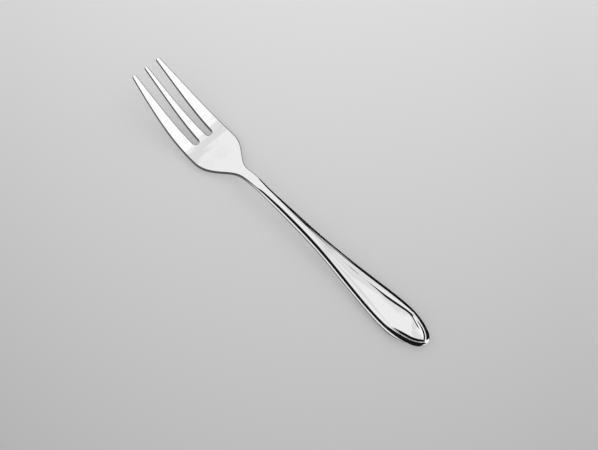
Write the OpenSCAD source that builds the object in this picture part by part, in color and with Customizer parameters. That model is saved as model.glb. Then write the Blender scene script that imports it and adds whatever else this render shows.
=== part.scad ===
// Three-tine pastry fork, stamped from one strip of stainless steel.
// The long axis is X, tines at -X, and the fork lies on the table as it rests:
// on the back of its head and on the end of its handle, hollow side up.
// Every section is worked out at a place s, measured from the tine tips along the fork.

/* [Whole fork] */
// Length in plan, tine tips to the point of the handle
fork_length = 150; // [140:1:160]
// Height of the tine tips over the table
tip_height = 14.4; // [11:0.2:17]
// Radius left on the sheared edges after polishing
edge_radius = 0.22; // [0.12:0.02:0.3]

/* [Head] */
// Length of the head, tine tips to the start of the neck
head_length = 56; // [52:1:60]
// Widest plan width of the head
head_width = 19; // [17:0.5:21]
// Plan width over the outer tines at their tips
tips_width = 12.8; // [11.6:0.2:14]
// Thickness of the metal in the head
head_thickness = 1.4; // [1.2:0.05:1.8]
// Depth of the hollow across the head
dish_depth = 0.4; // [0.1:0.05:0.7]
// Length of the rounded shoulders that fall from the head to the neck
shoulder_length = 19.6; // [17:0.2:23]

/* [Tines] */
// Depth of the two slots, measured from the tine tips
slot_length = 32; // [28:0.5:35]
// Width of a slot at the tine tips
slot_tip_width = 5.1; // [4.6:0.1:5.4]
// Width of a slot at its round root
slot_root_width = 2.7; // [2.2:0.1:3.2]
// Distance from the middle of the fork to the middle of a slot's root
slot_root_offset = 3.12; // [2.9:0.02:3.5]
// How much nearer the middle of the fork a slot runs at the tips
slot_splay = 0.34; // [0:0.02:0.5]
// Thickness of the metal at the tine tips
tip_thickness = 1.0; // [0.8:0.05:1.3]
// Length of the rounded nose of a tine
tip_round = 0.7; // [0.4:0.1:1.2]

/* [Neck] */
// Width of the neck
neck_width = 3.4; // [3:0.1:4.2]
// Thickness of the metal in the neck
neck_thickness = 2.6; // [2.2:0.1:3.2]
// Height of the neck's upper face over the table
neck_height = 6.05; // [4.8:0.1:7.4]

/* [Handle] */
// Widest plan width of the handle
handle_width = 13.2; // [11.4:0.2:15]
// Distance from the widest place of the handle to its point
handle_end_length = 15.5; // [13:0.5:19]
// Thickness of the handle at its raised rim
handle_thickness = 2.05; // [1.7:0.05:2.4]
// How far the point of the handle lifts off the table
handle_end_lift = 0.55; // [0.2:0.05:1]
// Width of the bevel outside the rim
bevel_width = 1.0; // [0.7:0.05:1.2]
// Fall of that bevel from the rim to the side wall
bevel_drop = 0.55; // [0.3:0.05:0.7]
// Width of the rim where the handle is widest
rim_width = 1.5; // [1:0.1:1.9]
// Depth of the groove between the rim and the panel
groove_depth = 0.16; // [0.05:0.01:0.25]
// Width of the panel's flank where the handle is widest
flank_width = 0.95; // [0.6:0.05:1.3]
// Rise of that flank from the groove
flank_rise = 0.42; // [0.2:0.02:0.5]
// Rise of the panel's crown above its flank
crown_rise = 0.24; // [0.1:0.02:0.4]

/* [Hidden] */

// Number of steps in each stretch of the fork, and over half of a round
tine_steps = 15;
head_steps = 17;
handle_steps = 26;
round_steps = 6;
end_steps = 11;

// Columns of points over the upper face: an outer tine's, and half of the middle tine's
outer_cols = 6;
inner_cols = 4;
half_cols = outer_cols + inner_cols - 1;
face_cols = 2 * half_cols - 1;
// Columns on the handle's bevel, rim and groove, before those of its panel
relief_cols = 4;

head_half = head_width / 2;
neck_half = neck_width / 2;
handle_half = handle_width / 2;
handle_widest = fork_length - handle_end_length;
shoulder_start = head_length - shoulder_length;
slot_root_radius = slot_root_width / 2;
slot_round_start = slot_length - slot_root_radius;
head_height = head_thickness + dish_depth;

// Outer edge of the tines: how quickly it reaches the head's full width
flare_power = 1.75;
// Form of the handle's point: 0.5 is an ellipse, 1 a parabola with a sharp point
point_power = 0.6;
// Share of the groove's depth reached halfway over the rim
rim_fall_share = 0.3;
// How quickly the panel's flank grows with the handle's width
flank_power = 1.5;

// Swell of the handle from neck to widest place, as shares of that length and of the gain in width
swell_shares = [
    [0, 0], [0.12, 0.014], [0.31, 0.085], [0.43, 0.16], [0.56, 0.304],
    [0.69, 0.53], [0.82, 0.778], [0.92, 0.94], [1, 1], [1.06, 0.99]
];

// Rise of the tines, as shares of the slope's length and of the tips' height over the head
rise_shares = [
    [0, 1], [0.19, 0.69], [0.38, 0.405], [0.57, 0.178], [0.76, 0.043], [0.9, 0.005], [1, 0]
];

// Climb from the head's lowest place to the top of the neck
climb_shares = [
    [0, 0], [0.16, 0.02], [0.34, 0.24], [0.55, 0.64], [0.76, 0.93], [1, 1]
];

// Fall of the handle from the neck's top to its lowest place
fall_shares = [
    [0, 1], [0.12, 0.95], [0.3, 0.74], [0.5, 0.5], [0.68, 0.24], [0.84, 0.08], [1, 0]
];

// Places where those three curves meet: the head's lowest place, the neck's top, the handle's lowest
lowest_place = head_length * 0.74;
neck_top_place = head_length * 1.13;
rest_place = fork_length - handle_end_length * 0.75;

function mix(a, b, share) = a + (b - a) * share;
function bound(v, low, high) = max(low, min(high, v));

// Smooth step from 0 to 1 as v goes from a to b, with no kink in its slope or bend
function ease(v, a, b) =
    let (t = bound((v - a) / (b - a), 0, 1))
    t * t * t * (t * (6 * t - 15) + 10);

// Natural cubic curve through a table of [place, value] pairs.
// bend() gives the curve's second slope at point i, by elimination along the table.
function chord(table, i) =
    (table[i + 1][1] - table[i][1]) / (table[i + 1][0] - table[i][0]);
function sweep(table, i) =
    i == 0 ? [0, 0] :
    let (
        before = table[i][0] - table[i - 1][0],
        after = table[i + 1][0] - table[i][0],
        last = sweep(table, i - 1),
        pivot = 2 * (before + after) - before * last[0]
    )
    [after / pivot, (6 * (chord(table, i) - chord(table, i - 1)) - before * last[1]) / pivot];
function bend(table, i) =
    i <= 0 || i >= len(table) - 1 ? 0 :
    let (row = sweep(table, i))
    row[1] - row[0] * bend(table, i + 1);
function with_bends(table) = [for (i = [0 : len(table) - 1]) [table[i][0], table[i][1], bend(table, i)]];
function span_of(table, v, i = 0) =
    i >= len(table) - 2 || v <= table[i + 1][0] ? i : span_of(table, v, i + 1);
function along(table, v) =
    let (
        i = span_of(table, v),
        a = table[i],
        b = table[i + 1],
        h = b[0] - a[0],
        p = (b[0] - v) / h,
        q = (v - a[0]) / h
    )
    p * a[1] + q * b[1] + ((p * p * p - p) * a[2] + (q * q * q - q) * b[2]) * h * h / 6;

swell_curve = with_bends(swell_shares);
rise_curve = with_bends(rise_shares);
climb_curve = with_bends(climb_shares);
fall_curve = with_bends(fall_shares);

// Half width of the fork's outline at place s
function head_edge(s) =
    let (t = bound(1 - s / shoulder_start, 0, 1))
    mix(head_half, tips_width / 2, pow(t, flare_power));
function handle_edge(s) =
    let (t = bound((s - head_length) / (handle_widest - head_length), 0, 1))
    mix(neck_half, handle_half, along(swell_curve, t));
function point_share(s) =
    let (t = bound((s - handle_widest) / handle_end_length, 0, 1))
    pow(max(0, 1 - t * t), point_power);
function half_width(s) =
    mix(head_edge(s), handle_edge(s), ease(s, shoulder_start, shoulder_start + shoulder_length))
    * point_share(s);

// Height of the upper face at its crest: the head's edges, the neck's top, the handle's rim
function crest(s) =
    s < lowest_place
    ? mix(head_height, tip_height, along(rise_curve, s / lowest_place))
    : s < neck_top_place
    ? mix(head_height, neck_height,
          along(climb_curve, (s - lowest_place) / (neck_top_place - lowest_place)))
    : s < rest_place
    ? mix(handle_thickness, neck_height,
          along(fall_curve, (s - neck_top_place) / (rest_place - neck_top_place)))
    : handle_thickness
      + handle_end_lift * pow((s - rest_place) / (fork_length - rest_place), 2);

// Thickness of the metal at place s
function thickness(s) =
    mix(mix(tip_thickness, head_thickness, ease(s, 0, slot_length)),
        mix(neck_thickness, handle_thickness, ease(s, head_length, rest_place)),
        ease(s, lowest_place, head_length));

// Share of the handle's relief: none in the head, full from the upper neck on
function relief_share(s) = ease(s, lowest_place, neck_top_place);
// Share of the panel's own relief, which starts where the handle begins to swell
function panel_share(s) = ease(s, head_length, mix(head_length, handle_widest, 0.7));

// Hollow across the head, deepest behind the slots and gone at the tips and the neck
function hollow(s, y) =
    let (side = y / max(edge_radius, half_width(s)))
    -dish_depth * (1 - side * side)
    * ease(s, 0, slot_length) * (1 - ease(s, lowest_place, head_length));

// Middle and half width of a slot at place s
function slot_middle(s) =
    slot_root_offset - slot_splay * (1 - bound(s / slot_length, 0, 1));
function slot_straight_half(s) =
    mix(slot_tip_width, slot_root_width, bound(s / slot_round_start, 0, 1)) / 2;
function slot_half(s) =
    s <= slot_round_start
    ? slot_straight_half(s)
    : sqrt(max(0, pow(slot_root_radius, 2) - pow(s - slot_round_start, 2)));

// Share of full size of a tine's section in its rounded nose
function nose_share(s) =
    let (t = bound(1 - s / tip_round, 0, 1))
    sqrt(max(0, 1 - t * t));
// Share of full thickness in the rounded point of the handle
function blunt_share(s) =
    let (t = bound(1 - (fork_length - s) / (handle_thickness / 2), 0, 1))
    sqrt(max(0, 1 - t * t));

// Half of the upper face as [distance from the middle, height against the crest], edge first.
// The head's columns are spread evenly; the handle's lie on its bevel, rim, groove, flank and panel.
function head_columns(s) =
    let (
        edge = half_width(s),
        line = edge * slot_root_offset / head_half
    )
    [for (i = [0 : half_cols - 1])
        i < outer_cols
        ? mix(edge, line, i / (outer_cols - 1))
        : line * (half_cols - 1 - i) / (inner_cols - 1)];
function handle_columns(s) =
    let (
        edge = half_width(s),
        swell = edge / handle_half,
        bevel = min(bevel_width, edge / 2),
        crest_in = edge - bevel,
        groove_in = crest_in - rim_width * crest_in / (handle_half - bevel_width),
        flank_in = groove_in - flank_width * pow(swell, flank_power),
        panel = max(groove_in / 2, flank_in),
        cols = half_cols - 1 - relief_cols
    )
    concat(
        [edge, crest_in, (crest_in + groove_in) / 2, groove_in],
        [for (i = [0 : cols]) panel * (1 - i / cols)]
    );
function handle_relief(s) =
    let (
        edge = half_width(s),
        swell = edge / handle_half,
        taper = min(1, edge / 2 / bevel_width),
        dip = groove_depth * swell * panel_share(s),
        step = (flank_rise * pow(swell, flank_power) - dip) * panel_share(s),
        crown = crown_rise * swell * panel_share(s),
        cols = half_cols - 1 - relief_cols
    )
    concat(
        [-bevel_drop * taper, 0, -dip * rim_fall_share, -dip],
        [for (i = [0 : cols]) step + crown * (1 - pow(1 - i / cols, 2))]
    );
function half_face(s) =
    let (
        share = relief_share(s),
        head = head_columns(s),
        handle = handle_columns(s),
        relief = handle_relief(s)
    )
    [for (i = [0 : half_cols - 1]) [mix(head[i], handle[i], share), relief[i] * share]];

// The whole face, left edge (+Y) to right edge
function body_face(s) =
    let (half = half_face(s))
    [for (i = [0 : face_cols - 1])
        i < half_cols ? half[i] : [-half[face_cols - 1 - i][0], half[face_cols - 1 - i][1]]];
function tine_face(s, tine) =
    let (
        edge = half_width(s),
        middle = slot_middle(s),
        open = slot_half(s),
        ends = tine == 0 ? [edge, middle + open]
             : tine == 1 ? [middle - open, open - middle]
             : [-middle - open, -edge],
        cols = tine == 1 ? 2 * inner_cols - 1 : outer_cols
    )
    [for (i = [0 : cols - 1]) [mix(ends[0], ends[1], i / (cols - 1)), 0]];

// One closed ring of points round a section, from its [place across, relief] face.
// It runs over the upper face, down the far wall, back under the metal and up the near wall.
function ring(s, face, nose, blunt) =
    let (
        cols = len(face),
        centre = (face[0][0] + face[cols - 1][0]) / 2,
        reach = (face[0][0] - face[cols - 1][0]) / 2,
        inset = min(edge_radius, reach / 3),
        thick = thickness(s),
        top = crest(s),
        waist = top - thick / 2,
        low_inset = min(mix(edge_radius, bevel_width / 2, relief_share(s)), reach / 3, thick / 4),
        upper = [for (c = face)
            [mix(centre, c[0], 1 - inset / reach), top + hollow(s, c[0]) + c[1]]],
        lower = [for (i = [cols - 1 : -1 : 0])
            [mix(centre, face[i][0], 1 - low_inset / reach), top - thick + hollow(s, face[i][0])]],
        far_wall = [
            [face[cols - 1][0], upper[cols - 1][1] - inset],
            [face[cols - 1][0], lower[0][1] + low_inset]
        ],
        near_wall = [
            [face[0][0], lower[cols - 1][1] + low_inset],
            [face[0][0], upper[0][1] - inset]
        ]
    )
    [for (p = concat(upper, far_wall, lower, near_wall))
        [s, mix(centre, p[0], nose), mix(waist, p[1], nose * blunt)]];

// Places of the sections along the tines, the head and neck, and the handle
tine_places = concat(
    [for (i = [1 : round_steps - 1]) tip_round * (1 - cos(90 * i / round_steps))],
    [for (i = [0 : tine_steps]) mix(tip_round, slot_round_start, i / tine_steps)],
    [for (i = [1 : round_steps]) slot_round_start + slot_root_radius * sin(90 * i / round_steps)]
);
body_places = concat(
    [for (i = [0 : head_steps]) mix(slot_length, head_length, i / head_steps)],
    [for (i = [1 : handle_steps]) mix(head_length, handle_widest, i / handle_steps)],
    [for (i = [1 : end_steps - 1]) handle_widest + handle_end_length * sin(90 * i / end_steps)]
);

wall_points = 2;
outer_ring = 2 * (outer_cols + wall_points);
middle_cols = 2 * inner_cols - 1;
middle_ring = 2 * (middle_cols + wall_points);
body_ring = 2 * (face_cols + wall_points);
tine_rings = [outer_ring, middle_ring, outer_ring];
tine_cols = [outer_cols, middle_cols, outer_cols];
tine_count = len(tine_places);
body_count = len(body_places);

// Where each tine's points start in the list, and where the body's start
tine_first = [0, tine_count * outer_ring, tine_count * (outer_ring + middle_ring)];
body_first = tine_count * (2 * outer_ring + middle_ring);
nose_first = body_first + body_count * body_ring;
point_last = nose_first + 3;

function waist_height(s) = crest(s) - thickness(s) / 2 + hollow(s, 0);
function tine_middle(s, tine) =
    let (face = tine_face(s, tine))
    (face[0][0] + face[len(face) - 1][0]) / 2;

points = concat(
    [for (tine = [0 : 2]) for (s = tine_places) each ring(s, tine_face(s, tine), nose_share(s), 1)],
    [for (s = body_places) each ring(s, body_face(s), 1, blunt_share(s))],
    [for (tine = [0 : 2]) [0, tine_middle(0, tine), waist_height(0)]],
    [[fork_length, 0, waist_height(fork_length)]]
);

// The fork stands on its own lowest points, whatever the sizes
lowest = min([for (p = points) p[2]]);

// Two triangles between neighbouring rings
function strip(a, b, size) = [for (i = [0 : size - 1])
    let (j = (i + 1) % size)
    each [[a + i, b + i, b + j], [a + i, b + j, a + j]]];
function fan(tip, first, size, outward) = [for (i = [0 : size - 1])
    let (j = (i + 1) % size)
    outward ? [tip, first + i, first + j] : [tip, first + j, first + i]];

// The last ring of a tine in the body's own points. The two rings that meet at a slot's root
// share the root's upper and lower point, and the wall between them is made of the tine's points.
function column_of(tine) = tine == 0 ? 0 : tine == 1 ? outer_cols - 1 : outer_cols + middle_cols - 2;
function seam_point(tine, i) =
    let (
        cols = tine_cols[tine],
        first = column_of(tine),
        size = tine_rings[tine],
        under = body_first + face_cols + wall_points
    )
    i < cols
    ? body_first + first + i
    : i < cols + wall_points
    ? (tine == 2 ? body_first + face_cols + i - cols : root_point(tine, i - cols))
    : i < 2 * cols + wall_points
    ? under + face_cols - 1 - (first + 2 * cols + wall_points - 1 - i)
    : (tine == 0
       ? body_first + body_ring - (size - i)
       : root_point(tine - 1, size - 1 - i));
// Points of the wall at a slot's root, kept once for the two tines beside it
function root_point(slot, i) =
    tine_first[slot] + (tine_count - 1) * tine_rings[slot] + tine_cols[slot] + i;

tine_faces = [for (tine = [0 : 2])
    let (size = tine_rings[tine], first = tine_first[tine])
    each concat(
        fan(nose_first + tine, first, size, true),
        [for (k = [0 : tine_count - 3]) each strip(first + k * size, first + (k + 1) * size, size)],
        [for (i = [0 : size - 1])
            let (j = (i + 1) % size, a = first + (tine_count - 2) * size)
            each [[a + i, seam_point(tine, i), seam_point(tine, j)],
                  [a + i, seam_point(tine, j), a + j]]]
    )];
body_faces = concat(
    [for (k = [0 : body_count - 2])
        each strip(body_first + k * body_ring, body_first + (k + 1) * body_ring, body_ring)],
    fan(point_last, body_first + (body_count - 1) * body_ring, body_ring, false)
);

// The fork in one piece
module fork() {
    color([0.78, 0.78, 0.77])
        translate([-fork_length / 2, 0, -lowest])
            polyhedron(points = points, faces = concat(tine_faces, body_faces), convexity = 8);
}

fork();
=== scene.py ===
"""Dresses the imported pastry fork: its skin, the table, a lamp, the mirrored studio and the camera."""

import math

import bmesh
import bpy
import numpy as np
from mathutils import Matrix, Vector


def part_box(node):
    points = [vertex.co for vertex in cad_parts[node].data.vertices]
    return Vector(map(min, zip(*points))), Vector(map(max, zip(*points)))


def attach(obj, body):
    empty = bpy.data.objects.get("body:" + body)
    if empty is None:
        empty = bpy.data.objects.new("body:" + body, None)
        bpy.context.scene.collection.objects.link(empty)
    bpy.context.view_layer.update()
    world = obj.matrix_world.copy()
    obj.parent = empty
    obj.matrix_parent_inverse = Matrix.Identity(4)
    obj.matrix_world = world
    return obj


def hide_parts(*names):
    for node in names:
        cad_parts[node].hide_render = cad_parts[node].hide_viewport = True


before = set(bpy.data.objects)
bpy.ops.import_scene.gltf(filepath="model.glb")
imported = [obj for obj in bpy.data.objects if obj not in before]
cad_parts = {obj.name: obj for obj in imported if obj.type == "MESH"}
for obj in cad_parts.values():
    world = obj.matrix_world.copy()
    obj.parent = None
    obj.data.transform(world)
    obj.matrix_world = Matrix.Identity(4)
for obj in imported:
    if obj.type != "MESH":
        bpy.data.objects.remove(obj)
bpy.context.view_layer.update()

MM = 0.001
QUARTER_TURN = math.pi / 2
EIGHTH_TURN = math.pi / 4
WHITE = (1, 1, 1, 1)

# The fork's box in the frame gives its length, its width at the head and where the tine tips start
BOX_LOW, BOX_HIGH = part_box("fork")
FORK_LENGTH = (BOX_HIGH.x - BOX_LOW.x) / MM
HEAD_WIDTH = (BOX_HIGH.y - BOX_LOW.y) / MM
TIPS_X = BOX_LOW.x / MM

# Sizes in millimetres: the tines and the head
TIP_HEIGHT = 14.4
TIP_THICKNESS = 1.0
TIP_ROUND = 0.7
TIPS_WIDTH = 12.95
SLOT_LENGTH = 32.0
SLOT_TIP_WIDTH = 4.24
SLOT_ROOT_WIDTH = 2.5
SLOT_ROOT_OFFSET = 3.12
SLOT_SPLAY = 0.34
HEAD_LENGTH = 56.0
HEAD_THICKNESS = 1.4
DISH_DEPTH = 0.4
SHOULDER_LENGTH = 19.6

# The neck
NECK_WIDTH = 3.3
NECK_THICKNESS = 2.2
NECK_HEIGHT = 6.05
NECK_FLARE = 0.35

# The handle, with its slopes as heights over widths
HANDLE_WIDTH = 12.75
HANDLE_THICKNESS = 2.9
HANDLE_END_LENGTH = 15.5
HANDLE_END_THICKNESS = 0.9
HANDLE_END_DROP = 0.3
BEVEL_WIDTH = 1.05
END_BEVEL_WIDTH = 1.4
BEVEL_SLOPE = 0.55
RIM_WIDTH = 1.9
END_RIM_WIDTH = 0.15
GROOVE_DEPTH = 0.1
FLANK_WIDTH = 1.0
FLANK_SLOPE = 0.31
END_FLANK_SLOPE = 0.38
CROWN_RISE = 0.18
LEAST_PANEL = 0.001

# Roundings of the edges, and how soft the relief's corners are
EDGE_RADIUS = 0.22
NECK_RADIUS = 0.35
RIM_RADIUS = 0.2
LOWER_RADIUS = 0.25
CORNER_SOFTNESS = 0.1
BEVEL_SOFTNESS = 0.6
END_BEVEL_SOFTNESS = 0.25

# Half widths and heights that follow from the sizes
HEAD_HALF = HEAD_WIDTH / 2
NECK_HALF = NECK_WIDTH / 2
HANDLE_HALF = HANDLE_WIDTH / 2
PANEL_HALF = HANDLE_HALF - BEVEL_WIDTH - RIM_WIDTH - FLANK_WIDTH
HEAD_HEIGHT = HEAD_THICKNESS + DISH_DEPTH
SLOT_ROOT_RADIUS = SLOT_ROOT_WIDTH / 2

# Places along the fork, measured from the tine tips
SLOT_ROUND_START = SLOT_LENGTH - SLOT_ROOT_RADIUS
SHOULDER_START = HEAD_LENGTH - SHOULDER_LENGTH
LOWEST_PLACE = HEAD_LENGTH * 0.74
NECK_TOP_PLACE = HEAD_LENGTH * 1.13
HANDLE_WIDEST = FORK_LENGTH - HANDLE_END_LENGTH
BEVEL_FULL_PLACE = FORK_LENGTH * 0.58

# Where the forms of the neck start and end
NECK_FLARE_ENDS = (HEAD_LENGTH * 0.95, HEAD_LENGTH * 1.25)
NECK_THICKENS = (HEAD_LENGTH * 0.88, HEAD_LENGTH * 1.25)
BEVEL_FORMS = (HEAD_LENGTH * 0.98, HEAD_LENGTH * 1.22)
BEVEL_SOFTENS = (HEAD_LENGTH * 1.3, HEAD_LENGTH * 1.55)

# Where the handle's forms start and end, as shares of the way from the head's end to its widest place
HANDLE_THICKENS = (0, 0.4)
EDGE_SHARPENS = (0, 0.35)
RELIEF_GROWS = (0, 0.7)
FLANK_NARROWS = (0.62, 0.76)
FLANK_WIDENS = (0.78, 1)

# Where those round its end start and end, as shares of the way from the widest place to the point
BEVEL_WIDENS = (0, 0.6)
BEVEL_SHARPENS = (-0.15, 0.3)
RIM_NARROWS = (-0.8, 0.8)
FLANK_STEEPENS = (0.08, 0.3)
FLANK_WIDENS_ON = (0.15, 0.5)
# WALL_DARKENS: where the painted shade on the handle's walls, dark paint for their dark reflections and
# shade, climbs higher and turns darker towards the point
WALL_DARKENS = (0.35, 0.6)

# Powers and shares that shape the outline and the relief
FLARE_POWER = 1.75
POINT_POWER = 0.46
GROOVE_POWER = 1.6
WIDEST_CROWN = 1.1
NECK_BEVEL_SHARE = 0.6
RIM_FORMED_SHARE = 0.77
NARROW_FLANK_SHARE = 0.45
NARROWEST_FLANK_SHARE = 0.14
FIRST_WIDENING_SHARE = 0.45

# Curves, as pairs of a share of the way and the value there
SWELL_SHARES = ((0, 0), (0.12, 0.008), (0.31, 0.06), (0.43, 0.13), (0.56, 0.285),
                (0.69, 0.515), (0.82, 0.765), (0.92, 0.935), (1, 1), (1.06, 0.99))
RISE_SHARES = ((0, 1), (0.19, 0.69), (0.38, 0.405), (0.57, 0.178), (0.76, 0.043), (0.9, 0.005), (1, 0))
CLIMB_SHARES = ((0, 0), (0.16, 0.035), (0.34, 0.24), (0.55, 0.61), (0.76, 0.905), (1, 1))
FALL_SHARES = ((0, 1), (0.12, 0.975), (0.3, 0.83), (0.5, 0.545), (0.68, 0.23), (0.84, 0.065), (1, 0))


# Small curves that the sections are made of

def mix(a, b, share):
    """a plus share times the way from a to b."""
    return a + (b - a) * share


def ease(v, a, b):
    """6t^5 - 15t^4 + 10t^3, where t is how far v is from a to b, held between 0 and 1."""
    t = np.clip((v - a) / (b - a), 0, 1)
    return t ** 3 * (t * (6 * t - 15) + 10)


def handle_places(shares):
    """Places at these shares of the way from the head's end to the handle's widest place."""
    return [mix(HEAD_LENGTH, HANDLE_WIDEST, share) for share in shares]


def end_places(shares):
    """Places at these shares of the way from the handle's widest place to its point."""
    return [mix(HANDLE_WIDEST, FORK_LENGTH, share) for share in shares]


def natural_curve(shares):
    """A natural cubic through the pairs in shares, as a function of place.

    Its second slopes m solve h0*m0 + 2*(h0 + h1)*m1 + h1*m2 = 6 * (change of chord slope), both ends 0.
    """
    place, value = np.array(shares, float).T
    h = np.diff(place)
    rule = np.diag(np.r_[1, 2 * (h[:-1] + h[1:]), 1])
    inner = np.arange(1, len(place) - 1)
    rule[inner, inner - 1] = h[:-1]
    rule[inner, inner + 1] = h[1:]
    second = np.linalg.solve(rule, np.r_[0, 6 * np.diff(np.diff(value) / h), 0])

    def along(v):
        """Linear, plus the two second slopes times (p^3 - p) and (q^3 - q), times h^2 / 6."""
        i = np.clip(np.searchsorted(place, v, side="left") - 1, 0, len(h) - 1)
        p = (place[i + 1] - v) / h[i]
        q = (v - place[i]) / h[i]
        curved = (p ** 3 - p) * second[i] + (q ** 3 - q) * second[i + 1]
        return p * value[i] + q * value[i + 1] + curved * h[i] ** 2 / 6

    return along


swell_curve = natural_curve(SWELL_SHARES)
rise_curve = natural_curve(RISE_SHARES)
climb_curve = natural_curve(CLIMB_SHARES)
fall_curve = natural_curve(FALL_SHARES)


# The fork's sections, each at a place s in millimetres from the tine tips

def head_edge(s):
    """Head half width less (1 - s / shoulder start)^flare power of what the tips are narrower."""
    return mix(HEAD_HALF, TIPS_WIDTH / 2, np.clip(1 - s / SHOULDER_START, 0, 1) ** FLARE_POWER)


def handle_edge(s):
    """Neck half width plus the swell curve's share of what the handle is wider, and a flare at the head."""
    t = np.clip((s - HEAD_LENGTH) / (HANDLE_WIDEST - HEAD_LENGTH), 0, 1)
    flare = NECK_FLARE * (1 - ease(s, *NECK_FLARE_ENDS))
    return mix(NECK_HALF, HANDLE_HALF, swell_curve(t)) + flare


def half_width(s):
    """Head edge eased into handle edge over the shoulders, times (1 - t^2)^point power over the end."""
    t = np.clip((s - HANDLE_WIDEST) / HANDLE_END_LENGTH, 0, 1)
    blank = mix(head_edge(s), handle_edge(s), ease(s, SHOULDER_START, HEAD_LENGTH))
    return blank * (1 - t * t) ** POINT_POWER


def crest(s):
    """Height of the upper face at the head's edges, the neck's top and the handle's rim, in four curves."""
    tines = mix(HEAD_HEIGHT, TIP_HEIGHT, rise_curve(np.clip(s / LOWEST_PLACE, 0, 1)))
    climb = np.clip((s - LOWEST_PLACE) / (NECK_TOP_PLACE - LOWEST_PLACE), 0, 1)
    neck = mix(HEAD_HEIGHT, NECK_HEIGHT, climb_curve(climb))
    fall = np.clip((s - NECK_TOP_PLACE) / (HANDLE_WIDEST - NECK_TOP_PLACE), 0, 1)
    handle = mix(HANDLE_THICKNESS, NECK_HEIGHT, fall_curve(fall))
    last = np.clip((s - HANDLE_WIDEST) / (FORK_LENGTH - HANDLE_WIDEST), 0, 1)
    end = HANDLE_THICKNESS - HANDLE_END_DROP * last ** 2
    before = [s < LOWEST_PLACE, s < NECK_TOP_PLACE, s < HANDLE_WIDEST]
    return np.select(before, [tines, neck, handle], end)


def thickness(s):
    """Tip to head thickness on the tines, then neck to handle thickness, less what the end is thinner."""
    front = mix(TIP_THICKNESS, HEAD_THICKNESS, ease(s, 0, SLOT_LENGTH))
    back = mix(NECK_THICKNESS, HANDLE_THICKNESS, ease(s, *handle_places(HANDLE_THICKENS)))
    thinner = (HANDLE_THICKNESS - HANDLE_END_THICKNESS) * ease(s, HANDLE_WIDEST, FORK_LENGTH)
    return mix(front, back, ease(s, *NECK_THICKENS)) - thinner


def hollow(s, y):
    """Minus the dish depth times 1 - (y / half width)^2, eased in along the tines, out before the neck."""
    side = y / np.maximum(EDGE_RADIUS, half_width(s))
    length = ease(s, 0, SLOT_LENGTH) * (1 - ease(s, LOWEST_PLACE, HEAD_LENGTH))
    return -DISH_DEPTH * (1 - side * side) * length


def slot_middle(s):
    """Distance from the fork's middle to the slot's, which runs straight inwards towards the tips."""
    return SLOT_ROOT_OFFSET - SLOT_SPLAY * (1 - np.clip(s / SLOT_LENGTH, 0, 1))


def slot_half(s):
    """Straight taper from tip width to root width, then a half circle."""
    straight = mix(SLOT_TIP_WIDTH, SLOT_ROOT_WIDTH, np.clip(s / SLOT_ROUND_START, 0, 1)) / 2
    root = np.sqrt(np.maximum(0, SLOT_ROOT_RADIUS ** 2 - np.maximum(0, s - SLOT_ROUND_START) ** 2))
    return np.where(s <= SLOT_ROUND_START, straight, root)


def rounded(distance, radius):
    """sqrt(1 - (1 - distance / radius)^2): the height of a round nose at a distance from its tip."""
    t = np.clip(1 - distance / radius, 0, 1)
    return np.sqrt(np.maximum(0, 1 - t * t))


def lean(s):
    """How much longer a step across is than the shortest way in from the outline: sqrt(1 + slope^2)."""
    step = EDGE_RADIUS / 2
    slope = (half_width(s + step) - half_width(s - step)) / (2 * step)
    return np.sqrt(1 + slope * slope)


def soft_floor(v, radius):
    """A smooth max(0, v): (v + sqrt(v^2 + radius^2)) / 2."""
    return (v + np.sqrt(v * v + radius * radius)) / 2


def edge_radius(s):
    """Rounding of the upper edges: the tines', eased into the neck's and then the handle's finer one."""
    front = mix(EDGE_RADIUS, NECK_RADIUS, ease(s, SLOT_LENGTH, HEAD_LENGTH))
    return mix(front, RIM_RADIUS, ease(s, *handle_places(EDGE_SHARPENS)))


def edge_tilt(s):
    """Angle by which the upper face leans outwards at its rounding: arctan of the bevel's slope so far."""
    return np.arctan(BEVEL_SLOPE * ease(s, *BEVEL_FORMS))


def bevel_width(s):
    """Narrow at the neck, full on the handle, wider round its end, and at most half of the half width."""
    handle = BEVEL_WIDTH * mix(NECK_BEVEL_SHARE, 1, ease(s, HEAD_LENGTH, BEVEL_FULL_PLACE))
    wider = (END_BEVEL_WIDTH - BEVEL_WIDTH) * ease(s, *end_places(BEVEL_WIDENS))
    return np.minimum(handle + wider, half_width(s) / 2)


def handle_features(s):
    """Widths of bevel, rim and flank, then the groove's dip, the flank's rise and the crown, at place s.

    The rim grows with the room that the half width leaves beside the bevel, and narrows round the end. The
    flank starts narrow, narrows more before the widest place and widens again in two steps. The heights
    grow along the handle and with its width.
    """
    edge = handle_edge(s)
    bevel = bevel_width(s)
    formed = ease(edge - bevel, 0, RIM_FORMED_SHARE * (HANDLE_HALF - BEVEL_WIDTH))
    rim = mix(RIM_WIDTH, END_RIM_WIDTH, ease(s, *end_places(RIM_NARROWS))) * formed
    narrow = mix(NARROW_FLANK_SHARE, NARROWEST_FLANK_SHARE, ease(s, *handle_places(FLANK_NARROWS)))
    first = ease(s, *handle_places(FLANK_WIDENS))
    second = ease(s, *end_places(FLANK_WIDENS_ON))
    widened = mix(second, first, FIRST_WIDENING_SHARE)
    swell = edge / HANDLE_HALF
    flank = FLANK_WIDTH * swell * mix(narrow, 1, widened)
    slope = mix(FLANK_SLOPE, END_FLANK_SLOPE, ease(s, *end_places(FLANK_STEEPENS)))
    grown = ease(s, *handle_places(RELIEF_GROWS))
    dip = GROOVE_DEPTH * swell * grown
    rise = slope * flank * grown
    crown = CROWN_RISE * swell * grown
    return bevel, rim, flank, dip, rise, crown


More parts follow.
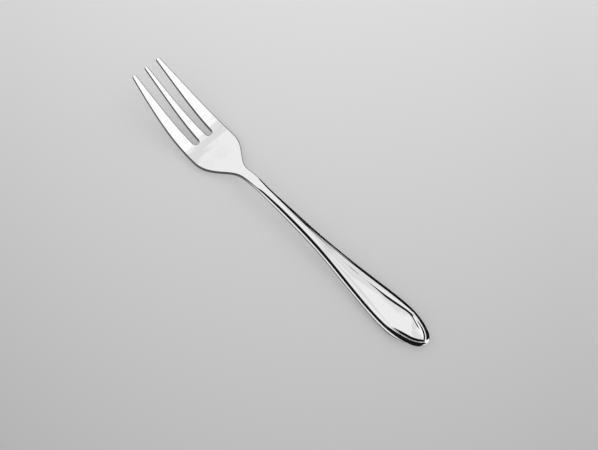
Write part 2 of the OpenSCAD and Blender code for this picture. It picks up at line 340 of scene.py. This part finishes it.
def handle_relief(s, y):
    """Height of the handle's relief against its rim.

    With d the way in from the outline: minus the bevel's slope times a smooth max(0, bevel width - d),
    minus the groove's dip over the rim, plus the flank's rise over the flank with soft corners, plus a
    crown over the panel, crown * (1 - (y / panel half width)^2).
    """
    edge = half_width(s)
    slant = lean(s)
    way_in = (edge - np.abs(y)) / slant
    bevel, rim, flank, dip, rise, crown = handle_features(s)
    soft = ease(s, *BEVEL_SOFTENS) * (1 - ease(s, *end_places(BEVEL_SHARPENS)))
    softness = mix(END_BEVEL_SOFTNESS, BEVEL_SOFTNESS, soft)
    fall = -BEVEL_SLOPE * soft_floor(bevel - way_in, softness) * ease(s, *BEVEL_FORMS)
    groove = -dip * np.clip((way_in - bevel) / rim, 0, 1) ** GROOVE_POWER
    foot = way_in - bevel - rim
    climb = soft_floor(foot, CORNER_SOFTNESS) - soft_floor(foot - flank, CORNER_SOFTNESS)
    panel_rise = rise * climb / np.maximum(flank, CORNER_SOFTNESS)
    panel = np.maximum(LEAST_PANEL, edge - slant * (bevel + rim + flank))
    top = crown * np.minimum(WIDEST_CROWN, panel / PANEL_HALF) ** 2
    dome = top * np.clip(1 - (y / panel) ** 2, 0, 1)
    return fall + (groove + panel_rise + dome) * ease(s, LOWEST_PLACE, NECK_TOP_PLACE)


# The mesh: closed rings of points round each section, strung along the three tines and the body

# Points across the upper face: each outer tine's, and the middle one's between them
OUTER_COLS = 31
MIDDLE_COLS = 25

# On the handle the outer ones crowd in four stretches from the outline inwards: bevel, inner corner, rim
# and flank. Their widths are shares of the bevel's or flank's, or the rim's less a share of the bevel's.
# Each ends no farther in than its share of the half width
BEVEL_STRETCH = 0.75
CORNER_STRETCH = 0.45
RIM_STRETCH_LESS = 0.35
LEAST_RIM_STRETCH = 0.06
FLANK_STRETCH = 1.4
STRETCH_LIMITS = (0.32, 0.46, 0.7, 0.86)
STRETCH_COLS = (4, 8, 6, 12)

# Points on each rounding, the most that one takes of a section's half width and thickness, the shares of
# a wall's way down between which it turns from polished to painted dark, for the dark reflections and shade
# on the edges, and how far in from their edges the tines' upper faces take that painted shade
CORNER_POINTS = 5
ROUNDING_WIDTH_SHARE = 0.45
ROUNDING_THICKNESS_SHARE = 0.4
WALL_SHADE_TURN = (0.5, 0.6)
EDGE_SHADE_REACH = 0.1

# Rings on each stretch, of which the last few, too close to the point, are left out
NOSE_RINGS = 11
TINE_RINGS = 64
ROOT_RINGS = 16
HEAD_RINGS = 130
HANDLE_RINGS = 280
END_RINGS = 90
END_RINGS_LEFT_OUT = 3

# How far behind them the slots' roots pull on the body, and the distance below which points are merged
PULL_LENGTH = SLOT_ROOT_WIDTH * 1.5
MERGE_DISTANCE = 0.0005


def spread(edges, counts):
    """Places in rows: even steps, as many as counts says, between neighbouring entries of edges."""
    rows = [edges[0][:, None]]
    for a, b, count in zip(edges[:-1], edges[1:], counts):
        rows.append(mix(a[:, None], b[:, None], np.arange(1, count + 1) / count))
    return np.concatenate(rows, axis=1)


def body_columns(s):
    """Places across at each s: even ones in the head, eased into ones that crowd on the handle's relief."""
    edge = half_width(s)
    slant = lean(s)
    bevel, rim, flank, *_ = handle_features(s)
    rim_stretch = np.maximum(LEAST_RIM_STRETCH, rim - bevel * RIM_STRETCH_LESS)
    widths = [bevel * BEVEL_STRETCH, bevel * CORNER_STRETCH, rim_stretch, flank * FLANK_STRETCH]
    limits = np.array(STRETCH_LIMITS)[:, None] * edge / slant
    steps = np.minimum(np.cumsum(widths, axis=0), limits)
    handle = spread([edge, *(edge - steps * slant)], STRETCH_COLS)
    line = edge * SLOT_ROOT_OFFSET / half_width(np.array([SLOT_LENGTH]))
    head = spread([edge, line], [OUTER_COLS - 1])
    outer = mix(head, handle, ease(s, LOWEST_PLACE, NECK_TOP_PLACE)[:, None])
    inner = spread([outer[:, -1], -outer[:, -1]], [MIDDLE_COLS - 1])[:, 1:-1]
    return np.concatenate([outer, inner, -outer[:, ::-1]], axis=1)


def tine_columns(s, tine):
    """Places across at each s, even between the tine's two edges."""
    edge, middle, gap = half_width(s), slot_middle(s), slot_half(s)
    ends = ((edge, middle + gap), (middle - gap, gap - middle), (-middle - gap, -edge))[tine]
    return spread(ends, [(MIDDLE_COLS if tine == 1 else OUTER_COLS) - 1])


def root_turn(s):
    """How far a slot's edge has turned round its root at s, as an angle from 0 to a quarter turn."""
    return np.arcsin(np.clip((s - SLOT_ROUND_START) / SLOT_ROOT_RADIUS, 0, 1))


def rings(s, across, turns, draw, pull, nose, blunt):
    """Rings of points, one for each place s, round the section whose upper face has these places across.

    The upper face is crest + hollow + relief, the lower one crest - thickness + hollow. An arc that starts
    at the face's own lean rounds each upper edge, out = r (1 - sin a) and down = r (cos start - cos a), and
    a quarter circle each lower one, with straight walls between. The arcs stand square to the outline, so
    at a slot's root, where the outline has turned by turns, they draw the faces back along the fork. draw
    and pull say how much each column follows across and along. nose and blunt shrink the whole section, or
    its height, towards a rounded end. The fourth number of each point is its painted edge shade, from 0
    where it is left polished to 1 where it is painted dark for the dark reflections and shade on its edges.
    """
    near, far = across[:, :1], across[:, -1:]
    centre, reach = (near + far) / 2, np.abs(near - far) / 2
    s = s[:, None]
    none, full = np.zeros_like(s), np.ones_like(s)
    room = np.minimum(reach * ROUNDING_WIDTH_SHARE, thickness(s) * ROUNDING_THICKNESS_SHARE)
    radius = np.minimum(edge_radius(s), room)
    low_radius = np.minimum(LOWER_RADIUS, room)
    start = edge_tilt(s)

    def face(pick, inset):
        """Places and heights of every pick-th column, drawn in by the inset, before a face's own form."""
        y = across[:, ::pick] - inset * draw[:, ::pick]
        place = s + inset * pull[:, ::pick]
        return place, y, crest(place) + hollow(place, y)

    def wall(edge, side, turn, upper, lower):
        """From the upper face's edge down to the lower one's: an arc, a straight wall, a quarter circle.

        On the head the painted edge shade, dark paint for the dark reflections and shade on the walls, is
        full down to the wall's foot, fading on the upper arc round the slots' roots as the turn's cosine
        squared, and on the lower arc as a sine. On the handle it starts at the wall's middle, and near the
        point a little higher.
        """
        turn = turn[:, None]
        share = np.arange(1, CORNER_POINTS + 1) / CORNER_POINTS
        over = mix(start, QUARTER_TURN, share)
        under = (1 + share[:1] - share) * QUARTER_TURN
        arc_out = radius * (1 - np.sin(over))
        out = np.concatenate([arc_out, none, none, low_radius * (1 - np.sin(under))], axis=1)
        high = upper - radius * (np.cos(start) - np.cos(over))
        low = lower + low_radius * (1 - np.cos(under))
        middle = [mix(high[:, -1:], low[:, :1], part) for part in WALL_SHADE_TURN]
        z = np.concatenate([high, *middle, low], axis=1)
        steep = np.clip(over / EIGHTH_TURN - 1, 0, 1)
        arc = mix(1, steep, ease(s, HEAD_LENGTH, NECK_FLARE_ENDS[1])) * np.cos(turn) ** 2
        low_arc = np.sin(under) + none
        head = np.concatenate([arc, full, full, low_arc], axis=1)
        handle = np.concatenate([0 * over, ease(s, *end_places(WALL_DARKENS)), full, low_arc], axis=1)
        edge_shade = mix(head, handle, ease(s, *NECK_FLARE_ENDS))
        return s + out * np.sin(turn), edge - side * out * np.cos(turn), z, edge_shade

    up_s, up_y, up_z = face(1, radius * (1 - np.sin(start)))
    up_z = up_z + handle_relief(up_s, up_y)
    low_s, low_y, low_z = face(2, low_radius)
    low_z = low_z - thickness(low_s)
    from_edge = np.minimum(near - across, across - far)
    # Painted shade on the tines' upper faces near their edges, for the dark reflections there, fading out
    # over the head
    face_shade = np.clip(1 - from_edge / EDGE_SHADE_REACH, 0, 1) * (1 - ease(s, SLOT_LENGTH, HEAD_LENGTH))
    far_wall = wall(far, -1, turns[1], up_z[:, -1:], low_z[:, -1:])
    near_wall = wall(near, 1, turns[0], up_z[:, :1], low_z[:, :1])
    upper = (up_s, up_y, up_z, face_shade)
    lower = (low_s, low_y, low_z, 0 * low_z)
    along, y, z, edge_shade = (np.concatenate([top, down, below[:, ::-1], back[:, ::-1]], axis=1)
                         for top, down, below, back in zip(upper, far_wall, lower, near_wall))
    waist = crest(s) + hollow(s, centre) - thickness(s) / 2
    y = mix(centre, y, nose[:, None])
    z = mix(waist, z, (nose * blunt)[:, None])
    return np.stack([along, y, z, edge_shade], axis=2)


def tine_rings(s, tine):
    """A tine's rings. The outer tines' columns follow the turn of one slot, the middle tine's of both."""
    across = tine_columns(s, tine)
    turn, still = root_turn(s), np.zeros_like(s)
    turns = ((still, turn), (turn, turn), (turn, still))[tine]
    share = np.linspace(0, 1, across.shape[1])
    first, last = turns[0][:, None], turns[1][:, None]
    draw = np.cos(first) * (1 - share) - np.cos(last) * share
    pull = mix(np.sin(first), np.sin(last), share)
    return rings(s, across, turns, draw, pull, rounded(s, TIP_ROUND), np.ones_like(s))


def body_rings(s):
    """The body's rings. The pull of the slots' roots fades as (1 - t)^2 over the pull length."""
    across = body_columns(s)
    still = np.zeros_like(s)
    side, middle = np.linspace(0, 1, OUTER_COLS), np.ones(MIDDLE_COLS - 2)
    outer = across[:, :OUTER_COLS]
    share = (outer - outer[:, -1:]) / (outer[:, :1] - outer[:, -1:])
    draw = np.concatenate([share, np.zeros((len(s), MIDDLE_COLS - 2)), -share[:, ::-1]], axis=1)
    fade = np.clip(1 - (s - SLOT_LENGTH) / PULL_LENGTH, 0, 1) ** 2
    pull = fade[:, None] * np.concatenate([side, middle, side[::-1]])
    blunt = rounded(FORK_LENGTH - s, HANDLE_THICKNESS / 2)
    return rings(s, across, (still, still), draw, pull, np.ones_like(s), blunt)


def tube_faces(count, size, first):
    """Quads between neighbouring rings of size points each, wound so that they face outwards."""
    ring, place = np.meshgrid(np.arange(count - 1), np.arange(size), indexing="ij")
    here, beside = first + ring * size + place, first + ring * size + (place + 1) % size
    return np.stack([here, beside, beside + size, here + size], axis=2).reshape(-1, 4)


def fan_faces(tip, first, size, front):
    """Triangles from one point to each side of a ring, in front of it or behind."""
    here = first + np.arange(size)
    beside = first + (np.arange(size) + 1) % size
    return np.stack([np.full(size, tip), *((beside, here) if front else (here, beside))], axis=1)


def ring_places():
    """Places of the tines' rings and of the body's.

    Rings stand closer together in the tines' noses, round the slots' roots and towards the handle's point,
    at places that go as the cosine or sine of even angles.
    """
    nose = TIP_ROUND * (1 - np.cos(np.linspace(0, QUARTER_TURN, NOSE_RINGS)))[1:-1]
    straight = np.linspace(TIP_ROUND, SLOT_ROUND_START, TINE_RINGS)
    root = SLOT_ROUND_START + SLOT_ROOT_RADIUS * np.sin(np.linspace(0, QUARTER_TURN, ROOT_RINGS))[1:]
    head = np.linspace(SLOT_LENGTH, HEAD_LENGTH, HEAD_RINGS)
    handle = np.linspace(HEAD_LENGTH, HANDLE_WIDEST, HANDLE_RINGS)[1:]
    turns = np.linspace(0, QUARTER_TURN, END_RINGS)[1:-END_RINGS_LEFT_OUT]
    end = HANDLE_WIDEST + HANDLE_END_LENGTH * np.sin(turns)
    return np.concatenate([nose, straight, root]), np.concatenate([head, handle, end])


def fork_skin():
    """The whole fork as one closed mesh, in metres, standing on its lowest points.

    It is four tubes, each closed by a fan at its outer end. Where they meet, their points are the same and
    are merged.
    """
    tine_places, body_places = ring_places()
    tubes = [(tine_rings(tine_places, tine), True) for tine in range(3)]
    tubes.append((body_rings(body_places), False))
    points, faces, first = [], [], 0
    for tube, front in tubes:
        count, size = tube.shape[:2]
        last = 0 if front else count - 1
        tip = tube[last].mean(axis=0)
        tip[0] = 0 if front else FORK_LENGTH
        points += [tube.reshape(-1, 4), tip[None]]
        faces += tube_faces(count, size, first).tolist()
        faces += fan_faces(first + count * size, first + last * size, size, front).tolist()
        first += count * size + 1
    points, edge_shade = np.split(np.concatenate(points), [3], axis=1)
    points[:, 0] += TIPS_X
    points[:, 2] -= points[:, 2].min()
    mesh = bpy.data.meshes.new("polished_fork")
    mesh.from_pydata((points * MM).tolist(), [], faces)
    # The painted edge shade goes on the points as an attribute, for the steel to darken them
    mesh.attributes.new("painted_edge_shade", "FLOAT", "POINT").data.foreach_set("value", edge_shade.ravel())
    work = bmesh.new()
    work.from_mesh(mesh)
    bmesh.ops.remove_doubles(work, verts=work.verts, dist=MERGE_DISTANCE * MM)
    bmesh.ops.recalc_face_normals(work, faces=work.faces)
    work.to_mesh(mesh)
    work.free()
    mesh.polygons.foreach_set("use_smooth", [True] * len(mesh.polygons))
    return mesh


def add_fork(material):
    """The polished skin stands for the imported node, at the origin, and moves with the root body."""
    skin = bpy.data.objects.new("polished_fork", fork_skin())
    bpy.context.scene.collection.objects.link(skin)
    skin.data.materials.append(material)
    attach(skin, "root")
    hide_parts("fork")
    return skin


# Shader helpers

def socket_of(tree, node, name, value):
    """Sets an input to a constant, or links it to another node's output."""
    if isinstance(value, bpy.types.NodeSocket):
        tree.links.new(value, node.inputs[name])
    else:
        node.inputs[name].default_value = value


def add_node(tree, kind, inputs=None, **settings):
    """One node with its settings and inputs."""
    node = tree.nodes.new(kind)
    for name, value in settings.items():
        setattr(node, name, value)
    for name, value in (inputs or {}).items():
        socket_of(tree, node, name, value)
    return node


def math_node(tree, operation, a, b=None, c=None):
    """A math node's output."""
    inputs = {i: v for i, v in enumerate((a, b, c)) if v is not None}
    return add_node(tree, "ShaderNodeMath", inputs, operation=operation).outputs[0]


def joined(tree, operation, values):
    """All the values joined by one operation, in a chain of math nodes."""
    result, *others = values
    for value in others:
        result = math_node(tree, operation, result, value)
    return result


def colour_mix(tree, share, a, b):
    """The colour a, carried to b by share."""
    return add_node(tree, "ShaderNodeMix", {0: share, 6: a, 7: b}, data_type="RGBA").outputs[2]


def noise(tree, vector, scale, detail, roughness):
    """A noise texture's value at a place."""
    inputs = {"Vector": vector, "Scale": scale, "Detail": detail, "Roughness": roughness}
    return add_node(tree, "ShaderNodeTexNoise", inputs).outputs["Fac"]


def stretched(tree, vector, scale):
    """A place with its coordinates scaled, so that a noise there is stretched where the scale is small."""
    return add_node(tree, "ShaderNodeMapping", {"Vector": vector, "Scale": scale}).outputs["Vector"]


def ramp(tree, value, low, high, start=0.0, end=1.0):
    """A value carried from low..high to start..end with a smooth step."""
    inputs = {"Value": value, "From Min": low, "From Max": high, "To Min": start, "To Max": end}
    return add_node(tree, "ShaderNodeMapRange", inputs, interpolation_type="SMOOTHSTEP").outputs["Result"]


def new_group(name, inputs, outputs):
    """An empty shader node group with these value inputs and outputs, and its two ends."""
    group = bpy.data.node_groups.new(name, "ShaderNodeTree")
    for label, kind, default in inputs:
        item = group.interface.new_socket(label, in_out="INPUT", socket_type=kind)
        if default is not None:
            item.default_value = default
    for label, kind in outputs:
        group.interface.new_socket(label, in_out="OUTPUT", socket_type=kind)
    return group, group.nodes.new("NodeGroupInput"), group.nodes.new("NodeGroupOutput")


# The polished steel

# Its colours: polished, under smears, and the dark paint on the edges of the handle, the head and the end,
# which stands for the dark reflections and shade there
STEEL = (0.80, 0.80, 0.798, 1.0)
SMEARED_STEEL = (0.745, 0.745, 0.742, 1.0)
HANDLE_EDGE_SHADE = (0.07, 0.07, 0.071, 1.0)
HEAD_EDGE_SHADE = (0.09, 0.09, 0.092, 1.0)
END_EDGE_SHADE = (0.03, 0.03, 0.031, 1.0)

# Its roughness, and what the marks and the painted dark edges add
POLISHED_ROUGHNESS = 0.02
LINE_ROUGHNESS = 0.03
SMEAR_ROUGHNESS = 0.03
EDGE_SHADE_ROUGHNESS = 0.35

# The height of the marks in millimetres, and the share of it that each kind has
MARK_HEIGHT = 0.04
BAND_HEIGHT = 2.5
RIPPLE_HEIGHT = 0.35
LINE_HEIGHT = 0.0005

# The marks' noises: scales per metre, details with roughnesses, and the places scaled before two of them
LINE_SCALE = 5200.0
RIPPLE_SCALE = 95.0
SMEAR_SCALE = 70.0
BAND_SCALE = 260.0
LINE_DETAIL = (3.0, 0.6)
RIPPLE_DETAIL = (2.0, 0.4)
SMEAR_DETAIL = (5.0, 0.62)
BAND_DETAIL = (2.0, 0.5)
LINE_STRETCH = (0.025, 1, 1)
BAND_STRETCH = (1, 0.22, 1)
SMEARS_SHOW = (0.52, 0.72)

# Where the bands start on the tines and end on the head
BANDS_START = (SLOT_LENGTH * 0.5, SLOT_LENGTH * 0.8)
BANDS_END = (HEAD_LENGTH * 0.8, HEAD_LENGTH)


def polish_group():
    """What polishing leaves: hair-fine lines along the fork, a faint ripple, bands across, and thin smears.

    Lines is noise stretched along X and Bands noise stretched along Y. Ripple is a slow noise. Smears,
    where the fork was wiped, are the bright part of a broad noise.
    """
    group, start, end = new_group(
        "polishing_marks",
        [("Place", "NodeSocketVector", None), ("Line Scale", "NodeSocketFloat", LINE_SCALE),
         ("Smear Scale", "NodeSocketFloat", SMEAR_SCALE), ("Band Scale", "NodeSocketFloat", BAND_SCALE)],
        [("Lines", "NodeSocketFloat"), ("Ripple", "NodeSocketFloat"), ("Bands", "NodeSocketFloat"),
         ("Smears", "NodeSocketFloat")])
    place = start.outputs["Place"]
    lines = noise(group, stretched(group, place, LINE_STRETCH), start.outputs["Line Scale"], *LINE_DETAIL)
    ripple = noise(group, place, RIPPLE_SCALE, *RIPPLE_DETAIL)
    bands = noise(group, stretched(group, place, BAND_STRETCH), start.outputs["Band Scale"], *BAND_DETAIL)
    broad = noise(group, place, start.outputs["Smear Scale"], *SMEAR_DETAIL)
    smears = ramp(group, broad, *SMEARS_SHOW)
    for label, value in (("Lines", lines), ("Ripple", ripple), ("Bands", bands), ("Smears", smears)):
        group.links.new(value, end.inputs[label])
    return group


def polished_steel():
    """Mirror-polished stainless steel: nearly white metal, hardly rough, with faint marks of polishing.

    Where the mesh carries the painted edge shade, it is painted darker, for the dark reflections and shade
    on its edges, and is duller.
    """
    material = bpy.data.materials.new("polished_steel")
    material.use_nodes = True
    tree = material.node_tree
    shader = tree.nodes["Principled BSDF"]
    place = add_node(tree, "ShaderNodeTexCoord").outputs["Object"]
    x = add_node(tree, "ShaderNodeSeparateXYZ", {0: place}).outputs["X"]
    marks = add_node(tree, "ShaderNodeGroup", {"Place": place}, node_tree=polish_group())
    lines, ripple, bands, smears = (marks.outputs[name] for name in ("Lines", "Ripple", "Bands", "Smears"))
    # The painted edge shade from the mesh: where the steel is painted dark for the dark reflections and
    # shade on its edges
    edge = add_node(tree, "ShaderNodeAttribute", attribute_name="painted_edge_shade").outputs["Fac"]

    def along_fork(places, before=0.0, behind=1.0):
        """A value that goes smoothly from one to the other between two places along the fork."""
        low, high = ((TIPS_X + place) * MM for place in places)
        return ramp(tree, x, low, high, before, behind)

    # Dark paint for the edges' dark reflections and shade: the head's, then the handle's, darker again
    # towards the point
    shaded_edge_tone = colour_mix(tree, along_fork((SLOT_LENGTH, NECK_TOP_PLACE)), HEAD_EDGE_SHADE, HANDLE_EDGE_SHADE)
    shaded_edge_tone = colour_mix(tree, along_fork(end_places(WALL_DARKENS)), shaded_edge_tone, END_EDGE_SHADE)
    tone = colour_mix(tree, smears, STEEL, SMEARED_STEEL)
    tone = colour_mix(tree, edge, tone, shaded_edge_tone)
    shader.inputs["Metallic"].default_value = 1.0
    tree.links.new(tone, shader.inputs["Base Color"])
    rough = math_node(tree, "MULTIPLY_ADD", lines, LINE_ROUGHNESS, POLISHED_ROUGHNESS)
    rough = math_node(tree, "MULTIPLY_ADD", smears, SMEAR_ROUGHNESS, rough)
    rough = math_node(tree, "MULTIPLY_ADD", edge, EDGE_SHADE_ROUGHNESS, rough)
    tree.links.new(rough, shader.inputs["Roughness"])
    banded = math_node(tree, "MULTIPLY", along_fork(BANDS_START), along_fork(BANDS_END, BAND_HEIGHT, 0.0))
    height = math_node(tree, "MULTIPLY", bands, banded)
    height = math_node(tree, "MULTIPLY_ADD", ripple, RIPPLE_HEIGHT, height)
    height = math_node(tree, "MULTIPLY_ADD", lines, LINE_HEIGHT, height)
    bump_inputs = {"Height": height, "Strength": 1.0, "Distance": MARK_HEIGHT * MM}
    bump = add_node(tree, "ShaderNodeBump", bump_inputs)
    tree.links.new(bump.outputs["Normal"], shader.inputs["Normal"])
    return material


# The camera

# Its angle over the table, its turn round the fork, its distance in metres and the spot that it looks at
CAMERA_TILT = math.radians(57.0)
CAMERA_TURN = math.radians(47.71)
CAMERA_DISTANCE = 1.6
LOOK_AT = Vector((6.77 * MM, 1.32 * MM, 0))

# Its lens: the photograph's scale at the fork and its width, the sensor's width, the nearest and farthest
# distance that it sees
PIXELS_PER_METRE = 2783.3
PICTURE_WIDTH = 598
SENSOR_WIDTH = 36.0
CAMERA_NEAR = 0.05
CAMERA_FAR = 20.0

# The photograph's own right, away and up, in the fork's frame
RIGHT = Vector((math.cos(CAMERA_TURN), math.sin(CAMERA_TURN), 0))
AWAY = Vector((-math.sin(CAMERA_TURN), math.cos(CAMERA_TURN), 0))
UP = Vector((0, 0, 1))


def add_camera():
    """A long lens that looks down at the table, with the picture's right side square to the view."""
    data = bpy.data.cameras.new("camera")
    data.sensor_width = SENSOR_WIDTH
    data.lens = PIXELS_PER_METRE * CAMERA_DISTANCE / PICTURE_WIDTH * SENSOR_WIDTH
    data.clip_start, data.clip_end = CAMERA_NEAR, CAMERA_FAR
    camera = bpy.data.objects.new("camera", data)
    bpy.context.scene.collection.objects.link(camera)
    back = UP * math.sin(CAMERA_TILT) - AWAY * math.cos(CAMERA_TILT)
    turn = Matrix((RIGHT, back.cross(RIGHT), back)).transposed()
    camera.matrix_world = Matrix.Translation(LOOK_AT + back * CAMERA_DISTANCE) @ turn.to_4x4()
    bpy.context.scene.camera = camera


# The table

# Its side and its drop below the fork in metres, its roughness, and the parts of its tone and glow
TABLE_SIZE = 3.0
TABLE_DROP = 0.02 * MM
TABLE_ROUGHNESS = 0.6
TABLE_REACH = 100 * MM
TABLE_TONE = 0.62
# TABLE_RISE, TABLE_LEAN and TABLE_FALL paint the fall of the light on the table: brighter away from the
# camera, a little brighter to the right, darker towards both sides
TABLE_RISE = 0.108
TABLE_LEAN = 0.014
TABLE_FALL = 0.045
TABLE_GLOW = 0.3
REFLECTED_EXTRA = 0.72


def table_material():
    """Matt pale grey. Part of it is a glow that no shadow takes, and metal sees it brighter.

    Its tone is TABLE_TONE + TABLE_RISE * a + TABLE_LEAN * r - TABLE_FALL * r^2, with a the share of
    TABLE_REACH away from the camera and r the same to the right, both held between -1 and 1. This change
    of tone is painted light: the table is lighter away from the camera and darker towards the sides.
    """
    material = bpy.data.materials.new("table_top")
    material.use_nodes = True
    tree = material.node_tree
    shader = tree.nodes["Principled BSDF"]
    shader.inputs["Roughness"].default_value = TABLE_ROUGHNESS
    shader.inputs["Specular IOR Level"].default_value = 0.0
    place = add_node(tree, "ShaderNodeTexCoord").outputs["Object"]

    def share_of(direction):
        """How far a place lies in a direction, as a share of the table's reach."""
        inputs = {0: place, 1: direction / TABLE_REACH}
        value = add_node(tree, "ShaderNodeVectorMath", inputs, operation="DOT_PRODUCT").outputs["Value"]
        inputs = {"Value": value, "From Min": -1.0, "From Max": 1.0, "To Min": -1.0, "To Max": 1.0}
        return add_node(tree, "ShaderNodeMapRange", inputs).outputs["Result"]

    across = share_of(RIGHT)
    # Painted light falloff: brighter away from the camera, darker towards the sides
    tone = math_node(tree, "MULTIPLY_ADD", share_of(AWAY), TABLE_RISE, TABLE_TONE)
    tone = math_node(tree, "MULTIPLY_ADD", across, TABLE_LEAN, tone)
    tone = math_node(tree, "MULTIPLY_ADD", math_node(tree, "MULTIPLY", across, across), -TABLE_FALL, tone)
    path = add_node(tree, "ShaderNodeLightPath")
    glow = math_node(tree, "MULTIPLY", path.outputs["Is Camera Ray"], tone)
    glow = math_node(tree, "MULTIPLY", glow, TABLE_GLOW)
    glow = math_node(tree, "MULTIPLY_ADD", path.outputs["Is Glossy Ray"], REFLECTED_EXTRA, glow)
    shader.inputs["Emission Color"].default_value = WHITE
    tree.links.new(glow, shader.inputs["Emission Strength"])
    lit = math_node(tree, "MULTIPLY", tone, 1 - TABLE_GLOW)
    colour = add_node(tree, "ShaderNodeCombineColor", {0: lit, 1: lit, 2: lit}).outputs[0]
    tree.links.new(colour, shader.inputs["Base Color"])
    return material


def add_table():
    """A wide pale grey table top just under the fork."""
    half = TABLE_SIZE / 2
    corners = [RIGHT * x * half + AWAY * y * half for x, y in ((-1, -1), (1, -1), (1, 1), (-1, 1))]
    mesh = bpy.data.meshes.new("table_top")
    mesh.from_pydata([c - UP * TABLE_DROP for c in corners], [], [(0, 1, 2, 3)])
    mesh.materials.append(table_material())
    table = bpy.data.objects.new("table_top", mesh)
    bpy.context.scene.collection.objects.link(table)


# The studio

# Planes through the fork, by their normals as right, away and up: the softboxes' outer edges, those of each
# dark gap, and the one that the brighter box on the right ends at
SOFTBOX_EDGES = ((0.87, 0.31, 0.381), (0.287, 0.958, 0), (0, -0.208, 0.978), (-0.66, -0.03, 0.75))
GAPS = (((-0.716, -0.4287, 0.551), (0.905, -0.425, 0), (-0.995, -0.1, 0)),
        ((0.694, -0.576, 0.426), (-0.981, 0.196, 0)))
BOX_SPLIT = (0.944, -0.327, 0.046)

# Soft edges as dot products with a normal, then the brightness of each box and of the dark between
EDGE_SOFTNESS = 0.012
RIGHT_FADE = 0.15
STRIP_STARTS = (-0.099, -0.051)
LEFT_BOX = 1.04
STRIP = 0.88
RIGHT_BOX = 1.22
STUDIO_DARK = 0.01

# What matt things get from the sky, and what the camera sees of it
PLAIN_LIGHT = 0.965
SEEN_SKY = (0.6, 0.6, 0.6, 1)

# The lamp: its bearing and height in degrees, its distance and side in metres, its power in watts
LAMP_BEARING = 55
LAMP_HEIGHT = 52
LAMP_DISTANCE = 2.0
LAMP_SIDE = 1.2
LAMP_POWER = 1.7


def add_sky():
    """A dark studio with a great softbox over the table and a brighter one on the right.

    Metal sees the softboxes. Their outer edges are planes through the fork, so a way lies inside where its
    dot product with each plane's normal is over 0, and in a dark gap where its dot products with the gap's
    own planes are all below 0. The way's dot product with BOX_SPLIT tells the right-hand box, over 0, from
    the dimmer strip beside it and the rest. The camera and matt things see an even pale sky.
    """
    world = bpy.data.worlds.new("studio")
    bpy.context.scene.world = world
    world.use_nodes = True
    tree = world.node_tree
    tree.nodes.clear()
    way = add_node(tree, "ShaderNodeTexCoord").outputs["Generated"]
    path = add_node(tree, "ShaderNodeLightPath")

    def towards(direction):
        """Dot product of the way a ray goes with a direction given as right, away and up."""
        x, y, z = direction
        inputs = {0: way, 1: (RIGHT * x + AWAY * y + UP * z).normalized()}
        return add_node(tree, "ShaderNodeVectorMath", inputs, operation="DOT_PRODUCT").outputs["Value"]

    def sides(normals):
        """For each plane, 1 on the side that its normal points to and 0 on the other, with a soft edge."""
        return [ramp(tree, towards(normal), -EDGE_SOFTNESS, EDGE_SOFTNESS) for normal in normals]

    def background(colour, strength):
        """An even sky."""
        return add_node(tree, "ShaderNodeBackground", {"Color": colour, "Strength": strength}).outputs[0]

    def chosen(ray, others, these):
        """One sky for the rays of this kind, and another for all others."""
        return add_node(tree, "ShaderNodeMixShader", {0: path.outputs[ray], 1: others, 2: these}).outputs[0]

    clear_of_gaps = [joined(tree, "MAXIMUM", sides(gap)) for gap in GAPS]
    inside = joined(tree, "MULTIPLY", sides(SOFTBOX_EDGES) + clear_of_gaps)
    split = towards(BOX_SPLIT)
    strip = ramp(tree, split, *STRIP_STARTS, LEFT_BOX, STRIP)
    right = ramp(tree, split, -EDGE_SOFTNESS, RIGHT_FADE)
    light = add_node(tree, "ShaderNodeMix", {"Factor": right, "A": strip, "B": RIGHT_BOX}).outputs["Result"]
    studio = math_node(tree, "MULTIPLY_ADD", inside, light, STUDIO_DARK)
    sky = chosen("Is Glossy Ray", background(WHITE, PLAIN_LIGHT), background(WHITE, studio))
    sky = chosen("Is Camera Ray", sky, background(SEEN_SKY, 1.0))
    add_node(tree, "ShaderNodeOutputWorld", {"Surface": sky})


def sky_direction(bearing, height):
    """The way to a place in the sky: degrees from away towards the right, and degrees over the horizon."""
    b, h = math.radians(bearing), math.radians(height)
    return (AWAY * math.cos(b) + RIGHT * math.sin(b)) * math.cos(h) + UP * math.sin(h)


def add_lamp():
    """A square lamp that faces the fork. Metal sees the studio's softbox in its place."""
    data = bpy.data.lights.new("key_lamp", "AREA")
    data.shape, data.size, data.energy = "SQUARE", LAMP_SIDE, LAMP_POWER
    lamp = bpy.data.objects.new("key_lamp", data)
    bpy.context.scene.collection.objects.link(lamp)
    way = sky_direction(LAMP_BEARING, LAMP_HEIGHT)
    lamp.location = way * LAMP_DISTANCE
    lamp.rotation_mode = "QUATERNION"
    lamp.rotation_quaternion = way.to_track_quat("Z", "Y")
    lamp.visible_glossy = False


bpy.context.scene.view_settings.view_transform = "Standard"
add_fork(polished_steel())
add_table()
add_sky()
add_lamp()
add_camera()
